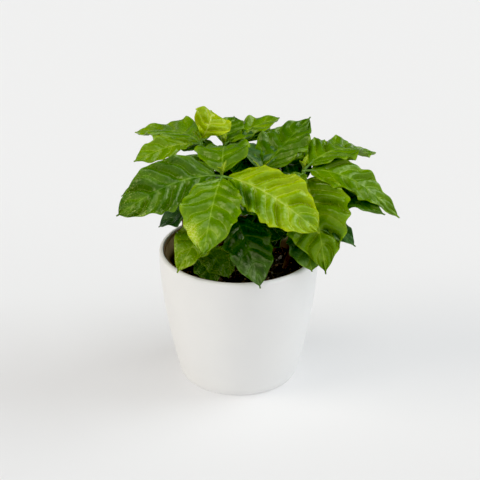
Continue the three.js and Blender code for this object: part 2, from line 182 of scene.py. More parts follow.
# The finer form of the peat, and what lies loose on it; the knobs are grains that the photo shows
PEAT_SIDES = 150
PEAT_RINGS = 62
PEAT_MIDDLE = 0.8
LOOSE_SEED = 7
LOOSE_CLEARANCE = 2.0
CLOD_STRETCH = (0.7, 1.3)
CLOD_BUMPS = (0.75, 1.2)
CLOD_SLACK = 1.01
CRUMBS = 1500
CRUMB_SIZE = 0.75
CRUMB_SPREAD = 0.45
CRUMB_FLATNESS = 0.8
CRUMB_RISE = 0.25
FIBRES = 160
FIBRE_LENGTHS = (1.5, 3.8)
FIBRE_WIDTH = 0.28
FIBRE_THICKNESS = 0.25
FIBRE_RISE = 0.45
FIBRE_TONE = 0.8
GRAINS = 46
GRAIN_SIZES = (0.5, 1.1)
GRAIN_RISE = 0.3
KNOB_RISE = 0.5
KNOB_TONE = 0.9
KNOBS = [((35.3, 19.0), 1.9), ((-20.0, -40.0), 1.6), ((10.0, 40.0), 2.0), ((-8.0, 4.0), 1.8)]

# Places on a piece's map, as shares of the cell that a leaf, a tube or a pot has there
LEAF_MAP_MIDDLE = 0.25
LEAF_MAP_REACH = 0.22
LEAF_MAP_MARGIN = 0.03
TUBE_MAP_WIDTH = 0.9
TUBE_MAP_HEIGHT = 0.96
TUBE_END_AT = (0.95, 0.97)
TUBE_END_REACH = 0.02
POT_MAP_HEIGHT = 0.84
POT_END_MIDDLES = (0.1, 0.3)
POT_END_HEIGHT = 0.925
POT_END_REACH = 0.07

# The photographed view, with places in the photo's 480 by 480 pixels
PHOTO_SIDE = 480
RIM_CENTRE_PX = (238.9, 247.3)
PX_PER_MM = 1.1807
VIEW_TILT = 26.6
CAMERA_AWAY = 1620
SENSOR = 36
CAMERA_CLIP = (0.01, 100)


def colour(red, green, blue):
    """A colour from its 0 to 255 values as a screen shows them."""
    return tuple(((c / 255 + 0.055) / 1.055) ** 2.4 for c in (red, green, blue)) + (1,)


# Colours
POT_WHITE = colour(240, 240, 238)
POT_WHITE_DEEP = colour(236, 236, 235)
# Painted light: the nursery pot's wall colours are much lighter than its taupe plastic, for the light that
# the leaves keep off it
LINER_BROWN_PAINTED_LIT = colour(238, 212, 172)
LINER_BROWN_DEEP_PAINTED_LIT = colour(220, 190, 150)
LINER_LIP_BROWN = colour(116, 94, 70)
# Dust patches, in a tone that is painted light as well
LINER_DUST_PAINTED_LIT = colour(222, 200, 168)
# Painted shade: the wall darkens to this deep in the pot, toward the peat
LINER_PAINTED_DEEP_SHADE = colour(92, 72, 52)
PEAT_BLACK = colour(25, 23, 21)
PEAT_BROWN = colour(42, 36, 33)
PEAT_PALE = colour(68, 54, 47)
FIBRE_TAN = colour(140, 110, 80)
GRAIN_PALE = colour(178, 168, 150)
GRAIN_SHADE = colour(120, 110, 96)
STEM_GREEN = colour(104, 146, 52)
STEM_OLIVE = colour(110, 118, 50)
BARK_RED = colour(106, 62, 44)
BARK_BROWN = colour(92, 70, 54)
BARK_SPECK = colour(150, 128, 104)
LEAF_GREENS = [
    (0.0, colour(14, 48, 8)), (0.25, colour(52, 92, 9)), (0.45, colour(88, 128, 8)),
    (0.65, colour(121, 156, 9)), (0.85, colour(155, 180, 10)), (1.0, colour(180, 196, 20)),
]
VEIN_GREENS = [
    (0.0, colour(22, 62, 12)), (0.25, colour(70, 112, 22)),
    (0.5, colour(134, 168, 48)), (1.0, colour(200, 206, 84)),
]
LEAF_SPECK = colour(190, 200, 104)
LEAF_BLOOM = colour(92, 128, 96)
UNDER_GREEN = colour(116, 146, 62)
FLOOR_PALE = colour(183, 183, 183)
# Painted shade: the floor turns this darker toward the front and left
FLOOR_PAINTED_SHADE = colour(178, 178, 178)

# Heights over which the painted shade deep in the nursery pot fades out up its wall, and over which the
# wall's painted light gives way to the lip's own brown
DEEP_SHADE_FADE = (SOIL_HEIGHT + 2, LINER_LIP_HEIGHT - 8)
LIP_OWN_BROWN = (LINER_LIP_HEIGHT - 3, LINER_LIP_HEIGHT - 1)

# A leaf's skin: ages run from 0, dark, to 1, yellow, and reliefs are in millimetres
AGE_CLOUDS = 0.34
# A paler, yellower band at the margin: partly the leaf's own edge colour, partly painted rim light
MARGIN_TONE_AND_RIM_LIGHT = 0.12
MARGIN_RIM_LIGHT_FROM = 0.82
AGE_TIP = 0.45
AGE_TIP_FROM = 0.62
# Painted shading of the quilted blade: paler along each side vein, darker between them
QUILT_PAINTED_SHADE = 0.05
SPECKLE = 0.12
FLECK_LEVEL = 0.62
FLECK_LEVEL_DROP = 0.14
FLECK_SOFTNESS = 0.16
FLECKS_NEAR_RIM = (0.2, 1.1)
FLECKS_NEAR_TIP = 0.5
FLECKS_AT_MOST = 0.9
BLOOM_SHARE = 0.6
VEIN_PALENESS = 0.46
VEIN_WIDTH = 0.72
VEIN_TAPER = 0.3
VEIN_CORE = 0.35
VEIN_FADE = (0.72, 0.95)
RIB_PALENESS = 0.85
RIB_WIDTH = 1.05
RIB_TAPER = 0.75
RIB_CORE = 0.55
UNDER_SHARE = 0.35
UNDER_LINES = 0.5
LEAF_ROUGHNESS = 0.22
LEAF_SHINE = 0.56
LEAF_SHINE_TINT = (0.92, 1.0, 0.5, 1)
CLOUD_ROUGHNESS = 0.1
FLECK_ROUGHNESS = 0.15
UNDER_ROUGHNESS = 0.25
NET_SCALE = 0.75
NET_RELIEF = 0.12
PUCKER_RELIEF = 0.9
PUCKERS_YOUNG = 0.3
PUCKERS_BY_AGE = 1.2
CREASE_WIDTH = 1.8
VEIN_RELIEF = 0.3

# Studio, in metres; a light's share is what it adds to the floor, where 1 is a white floor
FLOOR_REACH = 8
# Painted light: the floor glows, so that the shadows on it stay faint
FLOOR_GLOW = 0.8
FLOOR_ROUGHNESS = 0.85
FLOOR_SHINE = 0.1
# Painted shade on the floor: how much the left adds to it, and the span over which it darkens toward the
# front
FLOOR_PAINTED_SHADE_SKEW = 0.45
FLOOR_PAINTED_SHADE_SPAN = (-0.3, 0.35)
BLACK_POINT = 0.007
AIR_SPAN = (0.1, 0.75)
AIR_LOW = (0.2, 0.2, 0.21, 1)
AIR_HIGH = (0.03, 0.03, 0.03, 1)
WARM = (1.0, 0.93, 0.82)
COOL = (0.9, 0.96, 1.0)
PLAIN = (1.0, 1.0, 1.0)
STUDIO_LIGHTS = [
    dict(name="left_window", turn=190, height=32, spread=38, share=0.24, tint=WARM),
    dict(name="right_window", turn=12, height=40, spread=40, share=0.33, tint=COOL),
    dict(name="top_window", turn=-30, height=80, spread=36, share=0.19, tint=PLAIN),
    dict(name="front_fill", turn=-80, height=38, spread=110, share=0.25, tint=PLAIN),
]


def leaf(at, heading, dip, length, width, arch, age, **more):
    """A leaf: where it leaves its stem, its way and size, and its age from 0, dark, to 1, yellow.

    Its patches differ in age and its flecks in speckle: a place, a reach along and aside, an amount.
    """
    return dict(at=at, heading=heading, dip=dip, length=length, width=width, arch=arch, age=age, **more)


SEEDLINGS = [
    dict(name="front_left", foot=(-17, -10), top=(-14, -18, 192), bow=2, mass_from=0.54, bud=60, leaves=[
        leaf(
            1, -163, 15, 93, 49, 0.1, 0.29, roll=-33, belly=0.86, full=0.65, speckle=0.3, quilt=1.5,
            patches=[(0.95, 0, 0.2, 0.6, 0.08)], flecks=[(0.85, 0, 0.25, 2, 0.45)],
        ),
        leaf(
            0.99, -101, 25, 84, 50, 0.1, 0.45, belly=1, petiole=2, speckle=0.15, quilt=0.8,
            patches=[(0.8, -0.7, 0.16, 0.4, 0.4)], flecks=[(0.78, -0.7, 0.16, 0.4, 1.2)],
        ),
        leaf(
            1, -27, 20, 95, 54, 0.08, 0.77, roll=25, belly=1.08, full=0.7, quilt=1.35,
            patches=[(0.22, -0.6, 0.3, 0.5, -0.5), (0.8, 0.25, 0.16, 0.5, -0.25)],
        ),
        leaf(0.98, 88, -4, 56, 46, 0.2, 0.42, roll=-6, belly=0.85, petiole=3),
        leaf(0.6, -128, 26, 65, 38, 0.1, 0.48, roll=-8, belly=0.8, speckle=0.65, tip=0.5),
        leaf(0.72, 12, 12, 38, 32, 0.15, 0.25, roll=30),
        leaf(0.7, -170, 15, 55, 40, 0.14, 0.12, belly=1.2, full=0.65, bloom=0.5),
    ]),
    dict(name="back_left", foot=(-26, 20), top=(-32, 32, 200), bow=-3, mass_from=0.6, bud=10, leaves=[
        leaf(0.98, 138, 8, 80, 50, 0.04, 0.48, sweep=-0.14, belly=0.86, full=0.5, tip=0.25, quilt=1.4),
        leaf(0.99, -160, 7, 60, 27, 0.08, 0.54, roll=-18, belly=1.2, quilt=1.3),
        leaf(
            1, 61, -52, 29, 41, 0.22, 0.85, roll=47, fold=31, sweep=-0.19, belly=1.36, full=1.02,
            petiole=2,
        ),
        leaf(0.91, -97, 15, 46, 34, 0.14, 0.35),
        leaf(0.66, 92, 20, 32, 26, 0.14, 0.3),
        leaf(0.74, -42, 0, 44, 30, 0.1, 0.25),
    ]),
    dict(name="right", foot=(39, 2), top=(54, 5, 187), bow=3, mass_from=0.36, bud=60, leaves=[
        leaf(1, 40, 6, 83, 45, 0.14, 0.46, belly=0.8, full=0.6, quilt=1.5),
        leaf(0.99, -15, 22, 89, 39, 0.14, 0.45, roll=12, belly=0.64, full=0.74, quilt=1.35),
        leaf(0.94, -74, 44, 88, 60, 0.12, 0.49, roll=30, belly=0.72, full=0.9, quilt=1.35),
        leaf(0.9, 160, 2, 35, 30, 0.15, 0.1, petiole=3),
        leaf(0.97, -112, 32, 26, 20, 0.2, 0.4, fold=30, petiole=2),
        leaf(0.72, -26, 0, 76, 31, 0.11, 0.28, roll=8, belly=0.85),
        leaf(0.6, -51, 6, 71, 28, 0.06, 0.2, bloom=0.5),
        leaf(0.5, -79, 21, 60, 33, 0.08, 0.22, belly=1.3, full=0.62, bloom=0.4, tip=0.8),
        leaf(0.4, -165, 36, 38, 28, 0.1, 0.06),
        leaf(0.72, 55, 18, 50, 30, 0.12, 0.35),
    ]),
    dict(name="back", foot=(-6, 42), top=(-13, 51, 189), bow=2, mass_from=0.3, bud=75, leaves=[
        leaf(1, 27, -16, 56, 33, 0.06, 0.5, belly=0.86, full=0.62, quilt=1.4),
        leaf(0.93, 165, 11, 64, 32, 0.14, 0.36, quilt=1.3),
        leaf(0.95, 8, -25, 38, 20, 0.1, 0.25, petiole=9, bloom=0.3),
        leaf(0.92, 51, -5, 61, 36, 0.1, 0.4, full=0.65),
        leaf(0.68, 40, 14, 50, 32, 0.14, 0.3),
        leaf(0.93, -60, 8, 48, 38, 0.12, 0.2),
        leaf(0.5, 125, 20, 46, 30, 0.14, 0.4),
        leaf(0.34, 90, 6, 42, 28, 0.14, 0.25),
        leaf(0.98, 74, -26, 36, 28, 0.1, 0.36, petiole=3),
        leaf(0.56, -158, 18, 36, 26, 0.12, 0.25),
    ]),
    dict(name="centre", foot=(16, 12), top=(19, 8, 183), bow=2, mass_from=0.62, bud=0, leaves=[
        leaf(0.98, 89, 2, 62, 38, 0.2, 0.28, belly=0.85, petiole=3, bloom=0.5),
        leaf(1, 53, -21, 75, 47, 0.03, 0.34, belly=0.77, full=0.87, petiole=3, quilt=1.2),
        leaf(0.85, -50, 25, 34, 24, 0.12, 0.15),
        leaf(0.7, 150, 10, 30, 24, 0.12, 0.15),
    ]),
    dict(name="back_right", foot=(30, 34), top=(38, 48, 174), bow=2, mass_from=0.34, bud=30, leaves=[
        leaf(0.98, 22, 12, 66, 38, 0.14, 0.42, roll=14),
        leaf(0.98, 89, -10, 60, 33, 0.1, 0.38, full=0.65),
        leaf(0.66, 60, 22, 52, 32, 0.12, 0.3),
        leaf(0.62, 135, 16, 44, 26, 0.12, 0.45),
        leaf(1, -62, 2, 38, 32, 0.12, 0.2),
        leaf(0.38, 22, 4, 42, 27, 0.14, 0.25),
        leaf(0.5, 98, 18, 48, 32, 0.12, 0.3),
    ]),
    dict(name="left", foot=(-42, 14), top=(-50, 26, 166), bow=2, mass_from=0.5, bud=70, leaves=[
        leaf(0.98, 178, 14, 52, 28, 0.14, 0.35),
        leaf(0.98, 105, 12, 50, 32, 0.14, 0.45),
        leaf(0.6, 130, 14, 36, 26, 0.14, 0.3),
        leaf(0.78, -175, 5, 34, 24, 0.12, 0.2),
    ]),
    dict(name="front", foot=(8, -12), top=(-5, -18, 158), bow=0, mass_from=0.72, bud=None, leaves=[
        leaf(1, -69.5, 31, 75, 41, 0.08, 0.1, quilt=0.35, tip=0.2),
        leaf(0.8, 8, 14, 44, 38, 0.1, 0.2, roll=20, belly=1.1, full=0.7),
        leaf(0.85, 100, 10, 30, 22, 0.12, 0.15),
    ]),
    dict(name="low", foot=(-30, -18), top=(-34, -13, 126), bow=0, mass_from=0.62, bud=5, leaves=[
        leaf(1, -53, 17, 45, 34, 0.1, 0.36, belly=1.02, full=0.6, speckle=0.8, bloom=0.15),
        leaf(0.8, -72, 16, 42, 25, 0.06, 0.3, full=0.6, speckle=0.8, bloom=0.4),
    ]),
]


# Meshes

class Pile:
    """Points and faces of many small forms that make one piece, with their values and map."""

    def __init__(self):
        self.points = []
        self.faces = []
        self.corners = []
        self.values = {}
        self.count = 0

    def add(self, points, faces, corners, **values):
        """faces index these points, and corners holds a place on the map for each corner of each face."""
        self.points.append(points)
        self.faces += [[index + self.count for index in face] for face in faces]
        self.corners += corners
        for name, value in values.items():
            self.values.setdefault(name, []).append(np.broadcast_to(value, (len(points), 3)))
        self.count += len(points)

    def piece(self, name, material, slot, nodes, sharp=None):
        """Makes the object. An edge is crisp where both its ends have 1 as the third number of sharp."""
        mesh = bpy.data.meshes.new(name)
        mesh.from_pydata((np.vstack(self.points) * MM).tolist(), [], self.faces)
        mesh.shade_smooth()
        layer = mesh.uv_layers.new(name="OFBake")
        layer.data.foreach_set("uv", np.array(self.corners, np.float32).ravel())
        for key, parts in self.values.items():
            made = mesh.attributes.new(key, "FLOAT_VECTOR", "POINT")
            made.data.foreach_set("vector", np.vstack(parts).astype(np.float32).ravel())
        if sharp is not None:
            crisp(mesh, np.vstack(self.values[sharp])[:, 2] > 0.5)
        obj = placed(name, mesh)
        mesh.materials.append(material)
        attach(obj, "root")
        if nodes:
            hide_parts(*nodes)


def crisp(mesh, rim):
    """Makes the edges between two points of the rim sharp."""
    ends = np.zeros(len(mesh.edges) * 2, np.int32)
    mesh.edges.foreach_get("vertices", ends)
    made = mesh.attributes.new("sharp_edge", "BOOLEAN", "EDGE")
    made.data.foreach_set("value", rim[ends].reshape(-1, 2).all(1))


def grid_faces(rows, columns, start, turned_over):
    """Faces of a grid of points, the first of which has the index start."""
    faces = []
    for i in range(rows - 1):
        for j in range(columns - 1):
            a = start + i * columns + j
            face = [a, a + columns, a + columns + 1, a + 1]
            faces.append(face[::-1] if turned_over else face)
    return faces


def tube_faces(rings, sides, inward=False):
    """Faces of a closed tube of rings of points, with a face on each end."""
    faces = []
    for i in range(rings - 1):
        for k in range(sides):
            a, b, after = i * sides, (i + 1) * sides, (k + 1) % sides
            face = [a + k, a + after, b + after, b + k]
            faces.append(face[:1] + face[:0:-1] if inward else face)
    first, last = list(range(sides)), list(range((rings - 1) * sides, rings * sides))
    return faces + ([first, last[::-1]] if inward else [first[::-1], last])


def tube_corners(sides, down, cell):
    """Places on the map for those faces but the ends. down is where each ring lies in the cell."""
    left, low, wide, high = cell
    return [
        (left + wide * step / sides, low + high * down[ring])
        for i in range(len(down) - 1) for k in range(sides)
        for ring, step in ((i, k), (i, k + 1), (i + 1, k + 1), (i + 1, k))
    ]


def full_turn(sides):
    return np.linspace(0, 2 * np.pi, sides, endpoint=False)


def grid_ring(rows, columns):
    """Indexes of a grid's outermost points, in order round it."""
    index = np.arange(rows * columns).reshape(rows, columns)
    return [*index[:, 0], *index[-1, 1:], *index[-2::-1, -1], *index[0, -2:0:-1]]


def smoothstep(low, high, x):
    share = np.clip((x - low) / (high - low), 0, 1)
    return share * share * (3 - 2 * share)


def unit(vectors):
    return vectors / np.linalg.norm(vectors, axis=-1, keepdims=True)


# The source's rule for stems and leaves

def stem_point(seedling, share):
    foot = np.array([*seedling["foot"], SOIL_HEIGHT])
    way = np.array(seedling["top"]) - foot
    lean = unit(way * (1, 1, 0))
    share = np.asarray(share, float)[..., None]
    return foot + way * share + lean * seedling["bow"] * 4 * share * (1 - share)


def stem_radius(share):
    return STEM_FOOT_RADIUS + (STEM_TOP_RADIUS - STEM_FOOT_RADIUS) * share


def blade_share(t, belly, full):
    """The blade's width at t, 0 at its foot and 1 at its tip, as a share of the widest."""
    body = np.maximum(0, np.sin(np.pi * np.minimum(t / LEAF_TIP_SHARE, 1) ** belly)) ** full
    drip = DRIP_TIP_WIDTH * np.minimum((1 - t) / DRIP_TIP_REACH, 1) ** DRIP_TIP_POWER * (t > 0.5)
    return np.maximum(body, drip)


def midrib(base, shape):
    """The leaf's middle line as a function of u, 0 at the stem and 1 at the tip, and its level side."""
    heading = math.radians(shape["heading"])
    dip = math.radians(shape["dip"])
    level = math.cos(dip)
    chord = np.array([level * math.cos(heading), level * math.sin(heading), -math.sin(dip)])
    side = np.array([-math.sin(heading), math.cos(heading), 0])
    up = np.cross(chord, side)
    length = shape["length"]

    def line(u):
        u = np.asarray(u, float)[..., None]
        bulge = 4 * u * (1 - u)
        arch = shape["arch"] * length * bulge * (1 + LEAF_ARCH_SKEW * (1 - 2 * u))
        return base + chord * length * u + up * arch + side * shape.get("sweep", 0) * length * bulge

    return line, side


# Leaves: t runs from 0 at the blade's foot to 1 at its tip, v from -1 at one edge to 1 at the other

def blade_axes(line, side, u, roll):
    """Across the blade and straight off it, at each place u on its midrib."""
    along = unit(line(u + RIB_STEP) - line(u - RIB_STEP))
    across = unit(side - along * (along @ side)[:, None])
    out = across * math.cos(roll) + np.cross(along, across) * math.sin(roll)
    return out, np.cross(along, out)


def vein_numbers(t, v, veins, phase):
    """Where each point lies among the side veins, which run where this is a whole number."""
    far = np.abs(v)
    vein = veins * (t - VEIN_RISE * far - VEIN_CURVE * far**3) + VEIN_SHIFT * np.tanh(VEIN_PARTING * v)
    wander = WANDER_ACROSS * far + WANDER_ALONG * veins * t + WANDER_BY_LEAF * phase + np.sign(v)
    return vein + VEIN_WANDER * far * np.sin(wander)


def scallops(t, v, vein, phase):
    """How the outline steps out between the veins, in its own way on each side."""
    edges = np.cos(2 * np.pi * vein[:, [0, -1]])
    edges = edges + LONG_SCALLOP * np.sin(2 * np.pi * (LONG_SCALLOPS * t + LONG_SCALLOP_STARTS) + phase)
    return np.where(v < 0, edges[:, :1], edges[:, 1:])


def waves(t, v, half, width, fold, veins, phase):
    """How far the blade stands off its midrib by its fold, its long waves and its frilled edge."""
    far = np.abs(v)
    swell = np.sin(np.pi * t)
    ripple = 2 * np.pi * LEAF_WAVES * t + phase + (v < 0) * np.pi * LEAF_WAVE_SHIFT
    frill = 2 * np.pi * veins * t + FRILL_BY_LEAF * phase
    lift = far * half * math.sin(fold) * (1 - (1 - LEAF_FOLD_LIFT) * far)
    lift = lift + LEAF_WAVE * width * far**2 * np.sin(ripple) * swell
    return lift + FRILL * width * far**4 * np.sin(frill) * swell


def quilting(t, v, vein, depth, phase):
    """How far the blade dips along its side veins, between which it bulges."""
    far = np.abs(v)
    inner = smoothstep(*QUILT_FROM_RIB, far) * (1 - QUILT_EDGE_LOSS * smoothstep(*QUILT_TO_EDGE, far))
    reach = inner * np.sin(np.pi * t) ** QUILT_END_POWER
    uneven = QUILT_BY_VEIN * np.round(vein) + QUILT_BY_LEAF * phase + QUILT_BY_SIDE * np.sign(v)
    depth = depth * (1 + QUILT_UNEVEN * np.sin(uneven))
    return depth * (0.5 + 0.5 * np.cos(2 * np.pi * vein)) ** QUILT_SHARPNESS * reach


def marked(value, stretches, t, v):
    """A value of the whole blade, with stretches where it differs."""
    for at, aside, long, broad, amount in stretches:
        value = value + amount * np.exp(-((t - at) / long) ** 2 - ((v - aside) / broad) ** 2)
    return value


def blade(base, shape, number):
    """Points of the blade's upper and under side, as grids, and the values that its colours need."""
    line, side = midrib(base, shape)
    length, width = shape["length"], shape["width"]
    start = shape.get("petiole", PETIOLE_LENGTH) / length
    fold = math.radians(shape.get("fold", LEAF_FOLD))
    phase = LEAF_PHASE * number
    veins = max(VEINS_AT_LEAST, round(length / VEIN_SPACING))
    steps = max(LEAF_LEAST_STEPS, round(length / LEAF_STEP))
    t = np.linspace(0, 1, steps + 1)
    u = start + (1 - start) * t
    out, face = blade_axes(line, side, u, math.radians(shape.get("roll", 0)))
    half = blade_share(t, shape.get("belly", LEAF_BELLY), shape.get("full", LEAF_FULLNESS))
    half = np.maximum(LEAF_LEAST_HALF, half * width / 2)[:, None]
    t = t[:, None]
    v = np.linspace(-1, 1, shape.get("columns", LEAF_COLUMNS) + 1)[None, :]
    far = np.abs(v)
    vein = vein_numbers(t, v, veins, phase)
    swell = np.sin(np.pi * t)
    wide = v * half * (1 + SCALLOP * swell * scallops(t, v, vein, phase) * far**2)
    level = line(u)[:, None, :] + out[:, None, :] * (wide * math.cos(fold))[..., None]
    lumps = [[noise.noise(Vector(point) / UNEVEN_SIZE) for point in row] for row in level]
    lift = waves(t, v, half, width, fold, veins, phase)
    lift = lift + UNEVEN * np.array(lumps) * smoothstep(*UNEVEN_FROM_RIB, far) * swell
    lift = lift - quilting(t, v, vein, QUILT_DEPTH * shape.get("quilt", 1) * width, phase)
    rib = np.exp(-(wide / MIDRIB_WIDTH) ** 2)
    thin = 1 - MIDRIB_THINNING * t
    top = lift - MIDRIB_GROOVE * rib * thin
    bottom = lift - LEAF_THICKNESS - MIDRIB_KEEL * rib * thin
    upper = level + face[:, None, :] * top[..., None]
    under = level + face[:, None, :] * bottom[..., None]
    none = 0 * vein
    place = np.stack([t + none, far + none, np.abs(wide)], -1)
    pattern = np.stack([vein, veins / length + none, none], -1)
    age = marked(shape["age"] + none, shape.get("patches", ()), t, v)
    speckle = marked(shape.get("speckle", SPECKLE) + none, shape.get("flecks", ()), t, v)
    mottle = np.stack([age, speckle, shape.get("tip", 0) + none], -1)
    return upper, under, place, pattern, mottle


def leaf_into(pile, base, shape, number, cell):
    upper, under, place, pattern, mottle = blade(base, shape, number)
    rows, columns = upper.shape[:2]
    count = rows * columns
    rim = np.ones((rows, columns))
    rim[1:-1, 1:-1] = 0
    faces = grid_faces(rows, columns, 0, False) + grid_faces(rows, columns, count, True)
    ring = grid_ring(rows, columns)
    edge = [[a, a + count, b + count, b] for a, b in zip(ring, ring[1:] + ring[:1])]
    left, low, wide, high = cell
    across = np.linspace(-1, 1, columns)[None, :] * (place[:, -1:, 2] / shape["width"] * 2)
    aside = LEAF_MAP_MIDDLE + LEAF_MAP_REACH * across
    down = LEAF_MAP_MARGIN + (1 - 2 * LEAF_MAP_MARGIN) * place[..., 0]
    over = np.stack([left + wide * aside, low + high * down], -1).reshape(-1, 2)
    below = over + (wide / 2, 0)
    spots = np.vstack([over, below])
    corners = [spots[index] for face in faces for index in face]
    corners += [over[index % count] for face in edge for index in face]
    bloom = np.full(2 * count, shape.get("bloom", 0))
    pile.add(
        np.vstack([upper.reshape(-1, 3), under.reshape(-1, 3)]),
        faces + edge,
        corners,
        blade_place=np.tile(place.reshape(-1, 3), (2, 1)),
        blade_pattern=np.tile(pattern.reshape(-1, 3), (2, 1)),
        blade_age=np.tile(mottle.reshape(-1, 3), (2, 1)),
        blade_side=np.stack([np.repeat((0.0, 1.0), count), bloom, np.tile(rim.ravel(), 2)], -1),
    )


def grown_on(seedling):
    """Its leaves and, where it has a bud, the bud's two small ones."""
    if seedling["bud"] is None:
        return seedling["leaves"]
    return seedling["leaves"] + [leaf(at=1, heading=seedling["bud"] + turn, **BUD) for turn in (0, 180)]


def cells(count):
    """Even places on the piece's map, about square. A leaf's upper side has the left half of its own."""
    columns = math.ceil(math.sqrt(count))
    rows = math.ceil(count / columns)
    for n in range(count):
        yield n % columns / columns, n // columns / rows, 1 / columns, 1 / rows


def leaves_of(seedling, order, material):
    pile = Pile()
    grown = grown_on(seedling)
    for i, (one, cell) in enumerate(zip(grown, cells(len(grown)))):
        leaf_into(pile, stem_point(seedling, one["at"]), one, order * LEAVES_COUNTED + i, cell)
    name = seedling["name"]
    pile.piece(f"blades_{name}", material, "leaf", [f"leaves_{name}"], sharp="blade_side")


# Stems

def tube_into(pile, path, radii, cell, first, last):
    """A tube with a radius for each ring and side, from one share of its stem's height to another."""
    rings, sides = radii.shape
    along = unit(np.gradient(path, axis=0))
    upright = abs(along[:, 2]).min() > UPRIGHT_FROM
    side = unit(np.cross((1.0, 0, 0) if upright else (0, 0, 1.0), along))
    up = np.cross(along, side)
    turn = full_turn(sides)
    spoke = side[:, None] * np.cos(turn)[None, :, None] + up[:, None] * np.sin(turn)[None, :, None]
    points = (path[:, None] + spoke * radii[..., None]).reshape(-1, 3)
    left, low, wide, high = cell
    share = np.linspace(0, 1, rings)
    corners = tube_corners(sides, share * TUBE_MAP_HEIGHT, (left, low, wide * TUBE_MAP_WIDTH, high))
    end, end_height = TUBE_END_AT
    end_spots = [(left + wide * (end + TUBE_END_REACH * np.cos(a)), low + high * end_height) for a in turn]
    corners += end_spots * 2
    wood = 1 - smoothstep(WOODY_TO, GREEN_FROM, first + (last - first) * share)
    pile.add(points, tube_faces(rings, sides), corners, wood=np.outer(np.repeat(wood, sides), (1, 0, 0)))


def rough_radii(path, share, relief, swellings):
    """A stem's radii, with the long, shallow ridges of young bark and a swelling at each node."""
    radii = np.repeat(stem_radius(share)[:, None], BARK_SIDES, axis=1)
    for i, (x, y, z) in enumerate(path):
        for k, angle in enumerate(full_turn(BARK_SIDES)):
            ridge, knot = (
                noise.noise(Vector((math.cos(angle) * about, math.sin(angle) * about, z * up + shift)))
                for (about, up), shift in ((BARK_RIDGES, x), (BARK_KNOTS, y))
            )
            radii[i, k] += relief * (ridge + KNOT_SHARE * knot)
    for height, size in swellings:
        radii += size * np.exp(-((path[:, 2] - height) / NODE_LENGTH) ** 2)[:, None]
    return radii


def bark_of(seedling, material):
    height = seedling["top"][2] - SOIL_HEIGHT
    share = np.linspace(-STEM_SUNK / height, seedling["mass_from"] - MASS_GAP / height, BARK_RINGS)
    path = stem_point(seedling, share)
    scarred = np.arange(FIRST_SCAR, share[-1], SCAR_STEP)
    scars = [(SOIL_HEIGHT + height * at, NODE_SWELLING) for at in scarred]
    radii = rough_radii(path, share, BARK_RELIEF, scars)
    pile = Pile()
    tube_into(pile, path, radii, (0, 0, 1, 1), share[0], share[-1])
    name = seedling["name"]
    pile.piece(f"bark_{name}", material, "stem", [f"stem_{name}"])


def petiole_into(pile, base, one, strip):
    """A leaf's stalk, which thins toward the blade and ends inside it."""
    line, _ = midrib(base, one)
    start = one.get("petiole", PETIOLE_LENGTH) / one["length"]
    path = line(np.linspace(0, start + PETIOLE_REACH, PETIOLE_RINGS)) - (0, 0, PETIOLE_DROP)
    size = PETIOLE_RADIUS if one["length"] > BUD["length"] else PETIOLE_RADIUS * BUD_STALK
    thick = size * np.linspace(*PETIOLE_TAPER, PETIOLE_RINGS)
    radii = np.repeat(thick[:, None], PETIOLE_SIDES, axis=1)
    tube_into(pile, path, radii, strip, one["at"] - PETIOLE_WOOD_SPAN, one["at"] + PETIOLE_WOOD_SPAN)


def shoots_of(seedling, material):
    """The green upper stem with the stalks of its leaves."""
    grown = grown_on(seedling)
    count = len(grown) + 1
    strips = [(n / count, 0, 1 / count, 1) for n in range(count)]
    height = seedling["top"][2] - SOIL_HEIGHT
    share = np.linspace(seedling["mass_from"] - MASS_GAP / height, 1, SHOOT_RINGS)
    path = stem_point(seedling, share)
    nodes = [(stem_point(seedling, one["at"])[2], NODE_SWELLING) for one in seedling["leaves"]]
    radii = rough_radii(path, share, SHOOT_RELIEF, nodes)
    tip = smoothstep(SHOOT_TIP_FROM, 1, np.linspace(0, 1, SHOOT_RINGS))
    radii *= np.minimum(1, SHOOT_TIP_HOLD - tip * SHOOT_TIP_TAPER)[:, None]
    pile = Pile()
    tube_into(pile, path, radii, strips[0], share[0], 1)
    for one, strip in zip(grown, strips[1:]):
        petiole_into(pile, stem_point(seedling, one["at"]), one, strip)
    name = seedling["name"]
    pile.piece(f"shoots_{name}", material, "leaf", [f"leaves_{name}"])


# Pots

def turned(name, profile, material, slot, replaced):
    """A pot turned from a profile of (radius, height) that ends in a flat disc at each end."""
    profile = np.array(profile)
    turn = full_turn(POT_SEGMENTS)
    radii, heights = profile[:, :1], profile[:, 1:]
    points = np.stack([radii * np.cos(turn), radii * np.sin(turn), heights + 0 * turn], -1).reshape(-1, 3)
    length = np.concatenate([[0], np.cumsum(np.linalg.norm(np.diff(profile, axis=0), axis=1))])
    down = length / length[-1] * POT_MAP_HEIGHT
    corners = tube_corners(POT_SEGMENTS, down, (0, 0, 1, 1))
    for middle, around in zip(POT_END_MIDDLES, (turn[::-1], turn)):
        x, y = middle + POT_END_REACH * np.cos(around), POT_END_HEIGHT + POT_END_REACH * np.sin(around)
        corners += list(zip(x, y))
    pile = Pile()
    pile.add(points, tube_faces(len(profile), POT_SEGMENTS), corners)
    pile.piece(name, material, slot, [replaced])


def pot_radius(z):
    depth = (POT_HEIGHT - z) / POT_HEIGHT
    return POT_RIM_RADIUS * (1 - (1 - POT_BASE_SHARE) * depth**POT_TAPER_POWER)


def pot_inside(z):
    """The pot's inner radius: its lip is a little thinner than its wall."""
    below_lip = smoothstep(POT_HEIGHT, POT_HEIGHT - POT_LIP_FADE, z)
    return pot_radius(z) - POT_LIP - (POT_WALL - POT_LIP) * below_lip


def arc(centre, radius, start, end, steps):
    """Points on a round from one angle to another, in degrees, as (radius, height)."""
    angles = np.radians(np.linspace(start, end, steps))
    return [(centre[0] + radius * math.cos(a), centre[1] + radius * math.sin(a)) for a in angles]


